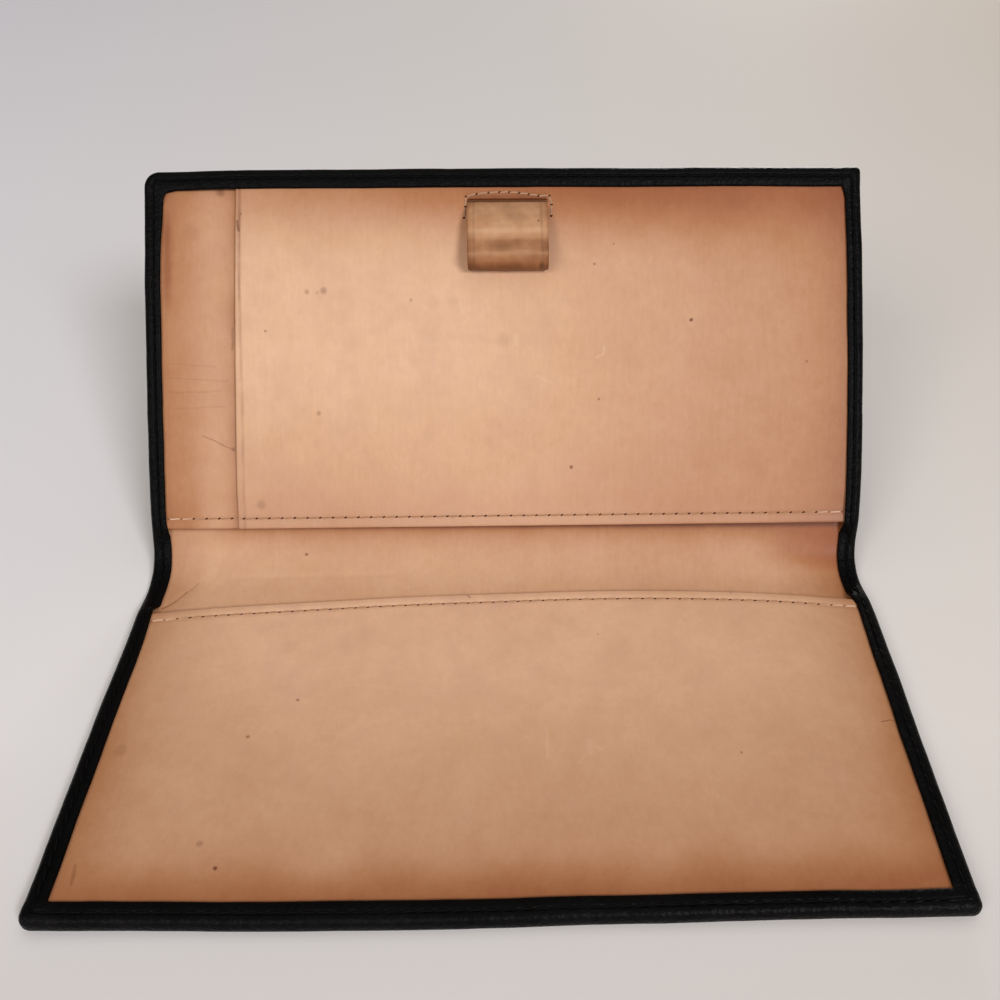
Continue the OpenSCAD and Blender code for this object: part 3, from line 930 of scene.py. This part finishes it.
def panel_face(x, s):
    from_hem, from_open = s - hem_at(x), x - open_edge(s)
    squeeze = -0.42 * (1 - ease((from_hem - 2.2) / 7))
    from_border = np.minimum(HALF - 4.6 - x, LENGTH - 4.8 - s)
    swell = 0.34 * ease(from_border / 16) * ease((from_hem - 4) / 16) * ease(from_open / 8 + 0.3)
    uneven = (0.16 * swells(x, s, 46, 61) + 0.05 * swells(x, s, 15, 62)) * ease(from_border / 10)
    uneven = uneven * ease(from_hem / 10)
    line = -0.14 * bell(from_open - tooled_line(s), 0.3) + 0.06 * bell(from_open - 0.55, 0.4)
    slit = in_slit(x, s, 0.48, -0.85)
    puff = 0.12 * bell(s - 180, 0.7) * ease((x + 9.5) / 1.5) * ease((11.5 - x) / 1.5)
    edge = rounded_edge(from_hem, 0.6, 0.5) + rounded_edge(from_open, 0.45, 0.35)
    top = PANEL_TOP - 0.05 + squeeze + hem_seam(from_hem, 0.14) + swell + uneven
    return top + line + slit + puff - edge + hem_lift(from_hem)


def hemmed_grid(xs, steps):
    """Columns at xs; rows that start on the slanting hem and end level under the top border."""
    x, t = np.meshgrid(xs, steps)
    start = hem_at(x)
    return x, start + (LENGTH - TUCKED - start) * t


hem_rows = spaced(0, 1, 1.2 / 83, [(0, 0.009, 0.0015), (0.009, 0.055, 0.0025), (0.895, 0.945, 0.0025)])
x, s = hemmed_grid(spaced(-PANEL_HALF, PANEL_HALF, 2.5, [(-PANEL_HALF, -62, 0.7)]), hem_rows)
# Painted shadow of the register pocket's open edge on the facing beside it.
pocket_edge_shadow = 0.45 * fade(open_edge(s) - x, 1.2) * (0.6 + 0.4 * swells(0, s, 9, 52))
values = {
    "patina_and_shading": strip_patina_and_shading(x, s),
    "oil": np.full_like(x, 0.1),
    "dirt_and_shade": pocket_edge_shadow + 0.12 * bell(x + 80, 2) * ease((s - 150) / 20),
}
points, faces, values = sheet_of_leather(x, s, facing_face(x, s), 0.65, values)
facing = to_mesh("upper_facing_panel", points, faces, values, calf)

open_side = [(OPEN_EDGE, OPEN_EDGE + 2.6, 0.11), (-10, -7.6, 0.2), (-7.6, 9.6, 1.0), (9.6, 12, 0.2)]
x, s = hemmed_grid(spaced(OPEN_EDGE, PANEL_HALF, 1.2, open_side), hem_rows)
x = x + (open_edge(s) - OPEN_EDGE) * (1 - ease((x - OPEN_EDGE) / 14))
from_line, from_edge = x - open_edge(s) - tooled_line(s), x - open_edge(s) - 0.5
line_shade = bell(from_line, 0.36) * (0.5 + 0.5 * ease((s - 140) / 30)) * (0.7 + 0.4 * swells(0, s, 7, 63))
# Along its open edge the pocket is darker, partly from dirt and partly as painted shadow of that raised edge.
edge_soil_and_shadow = bell(from_edge, 0.9) * (0.4 + 0.6 * ease((s - 150) / 25)) * (0.7 + 0.4 * swells(0, s, 9, 64))
rubbed_above = 0.6 * bell(s - SLIT_S - 0.9, 0.8) * ease((x + 9.3) / 1.5) * ease((11.3 - x) / 1.5)
values = {
    "patina_and_shading": upper_patina_and_shading(x, s),
    "oil": 0.3 * fade(LENGTH - 5 - s, 9.5, 1.6) * (0.3 + 0.7 * ease((x + 50) / 50)),
    "rosy": 0.32 * fade(s - 103, 9),
    # In the pen loop's slit the dark is painted shade.
    "dirt_and_shade": 1.6 * in_slit(x, s, 0.5) + 0.55 * line_shade + 0.22 * edge_soil_and_shadow + rubbed_above,
}
points, faces, values = sheet_of_leather(x, s, panel_face(x, s), 0.65, values)
register_pocket = to_mesh("register_pocket_panel", points, faces, values, calf)
print("facing and pocket:", len(facing.data.vertices), len(register_pocket.data.vertices), "vertices")

# %% [markdown]
# ## The pen loop
# One strip goes out through the slit, down, round a soft bend and back up behind itself into the
# slit. A single smooth line gives its side view, and the strip is that line swept across, thinner
# where the ends were pared to pass the slit, with a pressed line near each side.

# %% Pen loop
LOOP_LINE = [  # (s, height) of the strip's middle, from its outer end to its inner end
    (180.6, 2.55), (179.2, 2.65), (178.65, 3.2), (178.0, 4.1), (176.2, 5.8), (173.4, 7.5), (170.4, 8.55),
    (168.0, 9.1), (166.2, 9.75), (165.0, 9.95), (164.1, 9.35), (163.2, 7.9), (162.75, 6.5), (163.0, 5.1),
    (164.3, 4.2), (166.6, 3.95), (170, 3.95), (174, 3.95), (177.0, 3.8), (178.3, 3.25), (178.9, 2.65),
    (180.4, 2.55),
]


def smooth_line(knots, count):
    """Catmull-Rom curve through the knots, as evenly spaced points."""
    knots = np.array([knots[0], *knots, knots[-1]], float)
    curve = []
    for a, b, c, d in zip(knots[:-3], knots[1:-2], knots[2:-1], knots[3:]):
        t = np.linspace(0, 1, 24, endpoint=False)[:, None]
        square, cube = 2 * a - 5 * b + 4 * c - d, 3 * b - a - 3 * c + d
        curve.append(0.5 * (2 * b + (c - a) * t + square * t**2 + cube * t**3))
    curve = np.concatenate(curve + [knots[-1:]])
    walked = np.concatenate([[0], np.cumsum(np.linalg.norm(np.diff(curve, axis=0), axis=1))])
    at = np.linspace(0, walked[-1], count)
    return np.stack([np.interp(at, walked, curve[:, 0]), np.interp(at, walked, curve[:, 1])], 1), at


line, walked = smooth_line(LOOP_LINE, 96)
tangent = np.gradient(line, axis=0)
tangent /= np.linalg.norm(tangent, axis=1)[:, None]
outward = np.stack([-tangent[:, 1], tangent[:, 0]], 1)
if np.interp(20, walked, outward[:, 1]) < 0:
    outward = -outward
from_end = np.minimum(walked, walked[-1] - walked)
thick = 0.42 + 0.42 * ease((from_end - 2.2) / 4)

LOOP_X, LOOP_HALF = 0.9, 9.45
fine_sides = [(-LOOP_HALF, -LOOP_HALF + 2.2, 0.12), (LOOP_HALF - 2.2, LOOP_HALF, 0.12)]
across = LOOP_X + spaced(-LOOP_HALF, LOOP_HALF, 0.9, fine_sides)
x, k = np.meshgrid(across, np.arange(len(line)))
loop_s, loop_w, walked_k = line[k, 0], line[k, 1], walked[k]
from_side = LOOP_HALF - np.abs(x - LOOP_X)
pressed = -0.10 * bell(from_side - 1.5, 0.25) * ease((from_end[k] - 2.5) / 2) - rounded_edge(from_side, 0.4, 0.28)
lumps = 0.10 * swells(x, walked_k, 8, 71) * ease((from_end[k] - 3) / 3)
x = x + 0.012 * (178.9 - loop_s)  # the loop hangs a little askew
outer_side, inner_side = (
    np.stack([x, loop_s + outward[k, 0] * lift, loop_w + outward[k, 1] * lift], -1)
    for lift in (thick[k] / 2 + pressed + lumps, -thick[k] / 2 + lumps)
)
in_front = 1 - ease((3.9 - loop_w) / 0.4)
# Painted light on the strip: a painted highlight along the bend near s 170.6 and along the ridge near s 165.4,
# and painted shade on the rounded underside below s 164.2. It is also darker below s 169.4 and along its sides.
patina_and_shading = 0.24 + 0.30 * ease((169.4 - loop_s) / 1.5) - 0.22 * bell(loop_s - 170.6, 0.8) * in_front
patina_and_shading = patina_and_shading - 0.16 * bell(loop_s - 165.4 - 0.35 * swells(x, 0, 7, 74), 0.4)
patina_and_shading = patina_and_shading + 0.25 * ease((164.2 - loop_s) / 1.2) + 0.20 * bell(from_side, 1.1)
patina_and_shading = patina_and_shading + 0.10 * swells(x * 0.5, walked_k, 5, 72) + 0.07 * swells(x, walked_k, 2.6, 75)
dirt_and_shade = 0.14 + 0.30 * np.clip(swells(x * 0.7, walked_k, 5, 73) - 0.1, 0, 1) + 0.22 * bell(from_side - 1.5, 0.28)
# The strip's ends, where they pass into the slit, are darkened as painted shade.
dirt_and_shade = dirt_and_shade + 1.6 * ease((2.3 - walked_k) / 0.5)
print("loop strip:", round(float(walked[-1]), 1), "mm long")


# %% Pen loop mesh
values = {"patina_and_shading": patina_and_shading, "dirt_and_shade": np.clip(dirt_and_shade, 0, 2)}
points, faces, values = closed_solid(outer_side, inner_side, values, own_wall=False)
pen_loop = to_mesh("pen_loop_strip", points, faces, values, soiled_calf)
print("pen loop:", len(pen_loop.data.vertices), "vertices")

# %% [markdown]
# ## Stitches
# A sewing machine leaves one short length of thread from hole to hole, sinking at each end. Every
# stitch here is a small bent tube at its real place and pitch: 3 mm in the border, hem and mouth,
# 2.5 mm round the loop. A dashed texture would be lighter, but flat from the side.

# %% One seam as many small tubes
RINGS, GIRTH = 7, 8


def seam(path, pitch, height, radius=0.2, outside=False, lean=0.1, gap=0.04, clean_ends=False):
    """Stitches along a flat path [(x, s), ...]; height(x, s) is the surface. Returns points, faces,
    values and holes."""
    path = np.array(path, float)
    walked = np.concatenate([[0], np.cumsum(np.linalg.norm(np.diff(path, axis=0), axis=1))])
    count = max(1, int(round(walked[-1] / pitch)))
    knots = np.linspace(0, walked[-1], count + 1)
    holes = np.stack([np.interp(knots, walked, path[:, 0]), np.interp(knots, walked, path[:, 1])], 1)
    points, faces, twist = [], [], []
    sign = -1 if outside else 1
    for a, b in zip(holes[:-1], holes[1:]):
        step = b - a
        length = np.linalg.norm(step)
        u = step / length
        v = np.array([-u[1], u[0]])
        t = np.linspace(gap, 1 - gap, RINGS)
        lift = -0.22 + 0.34 * np.sin(math.pi * t) ** 0.55
        fat = radius * (0.72 + 0.28 * np.sin(math.pi * t) ** 0.5)
        start = len(points)
        for i in range(RINGS):
            centre = a + step * t[i] + v * lean * (2 * t[i] - 1)
            base = height(centre[0], centre[1])
            for j in range(GIRTH):
                turn = math.tau * j / GIRTH
                side = v * math.cos(turn) * fat[i] * 1.15
                rise = sign * (lift[i] + math.sin(turn) * fat[i])
                points.append((centre[0] + side[0], centre[1] + side[1], base + rise))
                twist.append((t[i] * length * 8, j / GIRTH * 6, 0))
        for i in range(RINGS - 1):
            for j in range(GIRTH):
                k = (j + 1) % GIRTH
                near, far = start + i * GIRTH, start + (i + 1) * GIRTH
                quad = [near + j, near + k, far + k, far + j]
                faces.append(quad[::-1] if outside else quad)
        first = [start + j for j in range(GIRTH)]
        last = [start + (RINGS - 1) * GIRTH + j for j in range(GIRTH)]
        faces += [first if outside else first[::-1], last[::-1] if outside else last]
    points = np.array(points)
    # Beside the border the thread kept its colour.
    clean = fade(HALF - 4.8 - np.abs(points[:, 0]), 6, 3) * clean_ends
    return points, faces, {"twist": np.array(twist), "clean": clean}, holes


def holes_at(name, holes, height, long=0.46, wide=0.24, turn=24.0):
    """A dark slanting slit under each stitch end: a small disc on the surface, its rim sunk in, painted dark as
    the shade inside the hole.
    """
    points, faces = [], []
    c, q = math.cos(math.radians(turn)), math.sin(math.radians(turn))
    for hx, hs in holes:
        size = 0.5 + 0.5 * ease((HALF - 7 - abs(hx)) / 5)  # smaller beside the border
        start = len(points)
        points.append((hx, hs, height(hx, hs) + 0.03))
        for share, lift in ((0.55, 0.06), (1.0, -0.02)):
            for j in range(12):
                a = size * long * share * math.cos(math.tau * j / 12)
                b = size * wide * share * math.sin(math.tau * j / 12)
                x, s = hx + a * c - b * q, hs + a * q + b * c
                points.append((x, s, height(x, s) + lift))
        for j in range(12):
            k = (j + 1) % 12
            faces.append([start, start + 1 + j, start + 1 + k])
            faces.append([start + 1 + j, start + 13 + j, start + 13 + k, start + 1 + k])
    return to_mesh(name, np.array(points), faces, {}, tan_hole)


def joined(parts):
    """Several (points, faces, values) as one."""
    points, faces, offset = [], [], 0
    for p, f, _ in parts:
        points.append(p)
        faces += [[c + offset for c in face] for face in f]
        offset += len(p)
    keys = parts[0][2].keys()
    return np.concatenate(points), faces, {k: np.concatenate([v[k] for _, _, v in parts]) for k in keys}


print("each stitch has", RINGS * GIRTH, "points")

# %% Border seam, inside and outside
SEAM_IN = 2.3


def runs(path, pitch, height, **how):
    """Seam along each straight run of a path, so that a hole falls at each corner."""
    parts = []
    for a, b in zip(path[:-1], path[1:]):
        count = max(2, int(np.hypot(b[0] - a[0], b[1] - a[1]) / 0.5))
        line = np.stack([np.linspace(a[0], b[0], count), np.linspace(a[1], b[1], count)], 1)
        parts.append(seam(line, pitch, height, **how)[:3])
    return joined(parts)


def in_border(x, s):
    return float(border_top(x, s, 0.42)) - 0.17


def in_outer_groove(x, s):
    return 0.34


border_seams = []
edge = HALF - SEAM_IN
for name, end in (("border_thread_lower", SEAM_IN), ("border_thread_upper", LENGTH - SEAM_IN)):
    path = [(-edge, SPINE_MIDDLE), (-edge, end), (edge, end), (edge, SPINE_MIDDLE)]
    parts = [runs(path, 3.0, in_border), runs(path, 3.0, in_outer_groove, outside=True)]
    border_seams.append(to_mesh(name, *joined(parts), black_thread))
print("border seams:", [len(o.data.polygons) for o in border_seams], "faces")

# %% Hem, mouth and loop seams
def hem_height(x, s):
    return float(panel_face(x, s) if x > open_edge(s) + 0.3 else facing_face(x, s))


def mouth_height(x, s):
    return float(check_face(x, s))


def panel_height(x, s):
    return float(panel_face(x, s))


def sewn(name, line, start, stop, pitch, height):
    """A tan seam along s = line(x), and the holes that it passes through."""
    xs = np.linspace(start, stop, 200)
    path = list(zip(xs, line(xs)))
    points, faces, values, holes = seam(path, pitch, height, radius=0.16, gap=0.12, clean_ends=True)
    print(name, "has", len(holes) - 1, "stitches")
    thread = to_mesh(name + "_thread", points, faces, values, tan_thread)
    return thread, holes_at(name + "_holes", holes, height)


def mouth_line(x):
    return mouth_at(x) - MOUTH_SEAM + 0.25 * (np.abs(x) / 80) ** 2


hem_thread, hem_slits = sewn("hem", lambda x: hem_at(x) + HEM_SEAM, -81.4, 81.3, 3.05, hem_height)
mouth_thread, mouth_slits = sewn("mouth", mouth_line, -81.6, 81.9, 2.93, mouth_height)

LOOP_HOLES = [
    (-9.3, 175.2), (-9.0, 177.8), (-8.8, 180.2), (-6.3, 180.8), (-3.5, 181.1), (-0.9, 181.2), (1.4, 181.2),
    (3.8, 181.0), (6.1, 180.7), (8.4, 180.3), (11.0, 180.3), (11.5, 178.2), (11.4, 175.5),
]
loop_parts = [
    seam([a, b], 9.0, panel_height, radius=0.19, gap=0.07)[:3] for a, b in zip(LOOP_HOLES[:-1], LOOP_HOLES[1:])
]
loop_thread = to_mesh("loop_thread", *joined(loop_parts), cream_thread)
loop_slits = holes_at("loop_holes", LOOP_HOLES, panel_height, long=0.42, wide=0.32)
print("stitches round the loop:", len(loop_parts))

# %% [markdown]
# ## The pieces in place
# The part has two folds, one at each side of the spine. Here the sheets, seams and holes keep the
# places where they were built, the pen loop with its thread and holes is hung on the upper half,
# and the measured parts that the pieces stand for are hidden.


lower_pieces = [outer_pair[0], lining_pair[0], check_pocket, border_seams[0], mouth_thread, mouth_slits]
upper_pieces = [outer_pair[1], lining_pair[1], facing, register_pocket, border_seams[1], hem_thread, hem_slits]
for piece in lower_pieces:
    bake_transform(piece)
for piece in upper_pieces:
    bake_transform(piece)
for piece in (pen_loop, loop_thread, loop_slits):
    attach(piece, "upper_half")

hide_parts("cover_lower", "cover_spine")
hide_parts("cover_spine", "cover_upper")
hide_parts("lining_lower", "lining_spine")
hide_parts("lining_spine", "lining_upper")
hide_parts("check_pocket")
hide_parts("upper_facing")
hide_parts("register_pocket")
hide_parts("pen_loop")
slots = [(piece, "outer_leather") for piece in outer_pair]
slots += [(piece, "lining_leather") for piece in lining_pair]
slots += [(piece, "panel_leather") for piece in (check_pocket, facing, register_pocket)]
slots += [(pen_loop, "loop_leather")]
print("pieces:", len(lower_pieces) + len(upper_pieces) + 3)

# %% [markdown]
# ## The room
# A plain pale floor and four soft lamps: a broad one from the front left, a smaller and stronger
# one from the front right that draws the shadows, a wide one overhead, and a low one behind that
# shows the black outside. The pale room is there for the camera; as a light it is dimmer and
# warmer. All are balanced so that a colour shows about as it was written.

# %% Floor
floor_mesh = bpy.data.meshes.new("floor")
ROOM = "#d3cfcb"
REACH, UNDER = 4.0, -0.00005  # a hair below the leather, so that the two faces don't coincide
corners = [(-REACH, -REACH, UNDER), (REACH, -REACH, UNDER), (REACH, REACH, UNDER), (-REACH, REACH, UNDER)]
floor_mesh.from_pydata(corners, [], [(0, 1, 2, 3)])
floor = bpy.data.objects.new("floor", floor_mesh)
bpy.context.scene.collection.objects.link(floor)
card, tree, _ = start_material("matt_paper_sweep")
place_on_floor = add(tree, "TexCoord", out="Object")
fibre = add(tree, "TexNoise", {"Vector": place_on_floor, "Scale": 7.0, "Detail": 3.0})
across_floor = add(tree, "SeparateXYZ", {0: place_on_floor}, out="X")
across_floor = add(tree, "MapRange", {0: across_floor, 1: -0.3, 2: 0.3})
# The paper carries painted light: cool towards the left and warm towards the right, and painted shade darkening
# it towards the front.
side_light_tints = [(0.0, "#f6f7ff"), (0.5, "#f3f1ee"), (1.0, "#ebe2d6")]
paper_colour = add(tree, "ValToRGB", {0: across_floor}, stops=side_light_tints)
front_shade = add(tree, "SeparateXYZ", {0: place_on_floor}, out="Y")
front_shade = add(tree, "MapRange", {0: front_shade, 1: 0.0, 2: -0.16})
fibre = add(tree, "Math", {0: fibre, 1: 0.06}, operation="MULTIPLY")
for mask, tint in ((front_shade, "#cfc9c6"), (fibre, "#cfccc8")):
    paper_colour = add(tree, "Mix", {0: mask, 6: paper_colour, 7: tint}, data_type="RGBA", out=2)
paper = add(tree, "BsdfPrincipled", {"Base Color": paper_colour, "Roughness": 0.85})
# Far from the lamps the paper keeps its paleness, so that it runs into the pale room without a line.
away = add(tree, "VectorMath", {0: place_on_floor}, operation="LENGTH", out="Value")
away = add(tree, "MapRange", {0: away, 1: 0.5, 2: 1.6}, interpolation_type="SMOOTHSTEP")
away = add(tree, "Math", {0: away, 1: add(tree, "LightPath", out="Is Camera Ray")}, operation="MULTIPLY")
glow = add(tree, "Emission", {"Color": ROOM, "Strength": 1.0})
add(tree, "OutputMaterial", {0: add(tree, "MixShader", {0: away, 1: paper, 2: glow})})
floor_mesh.materials.append(card)
print("floor:", 2 * REACH, "m square")

# %% Lamps and world
TARGET = Vector((0, 0.03, 0.03))


def soft_lamp(name, at, size, power, hex_code):
    lamp = bpy.data.lights.new(name, "AREA")
    lamp.shape, lamp.size = "SQUARE", size
    lamp.energy, lamp.color = power, linear(hex_code)[:3]
    holder = bpy.data.objects.new(name, lamp)
    holder.location = at
    holder.visible_camera = False
    holder.rotation_euler = (TARGET - Vector(at)).to_track_quat("-Z", "Y").to_euler()
    bpy.context.scene.collection.objects.link(holder)


soft_lamp("front_left", (-0.85, -1.2, 1.1), 0.8, 10.9, "#fff9f3")
soft_lamp("front_right", (0.75, -1.2, 1.15), 0.45, 17.7, "#f6f5fa")
soft_lamp("overhead", (0.0, 0.25, 1.5), 1.4, 3.4, "#ffffff")
soft_lamp("behind", (0.35, 1.3, 0.14), 0.24, 3.8, "#ffffff")
world = bpy.data.worlds.new("pale_room")
bpy.context.scene.world = world
world.use_nodes = True
sky = world.node_tree
sky.nodes.clear()
seen = add(sky, "Background", {"Color": ROOM, "Strength": 1.0})
light = add(sky, "Background", {"Color": "#fff0e2", "Strength": 0.17})
mixed = add(sky, "MixShader", {0: add(sky, "LightPath", out="Is Camera Ray"), 1: light, 2: seen})
add(sky, "OutputWorld", {0: mixed})
print("lamps are set")

# %% [markdown]
# ## The camera
# It looks down at the open cover from in front, about 40 degrees below level, with a lens a
# little wider than normal. Its place was worked out from the outline in the reference.

# %% Camera
PITCH, YAW, ROLL = (math.radians(a) for a in (40.31, -0.15, -0.42))
look = Matrix(((1, 0, 0), (0, -math.sin(PITCH), -math.cos(PITCH)), (0, math.cos(PITCH), -math.sin(PITCH))))
look = Matrix.Rotation(ROLL, 3, "Z") @ look @ Matrix.Rotation(YAW, 3, "Z")
right, down, forward = look
camera = bpy.data.objects.new("camera", bpy.data.cameras.new("camera"))
camera.data.lens, camera.data.sensor_width = 37.8, 36.0
camera.data.clip_start = 0.005
turned = Matrix((right, -down, -forward)).transposed().to_4x4()
camera.matrix_world = Matrix.Translation(Vector((-0.66, -135.71, 179.78)) * MM) @ turned
bpy.context.scene.collection.objects.link(camera)
bpy.context.scene.camera = camera
bpy.context.scene.view_settings.view_transform = "Standard"
print("camera at", [round(v, 4) for v in camera.location])

# %% The end
bpy.context.view_layer.update()
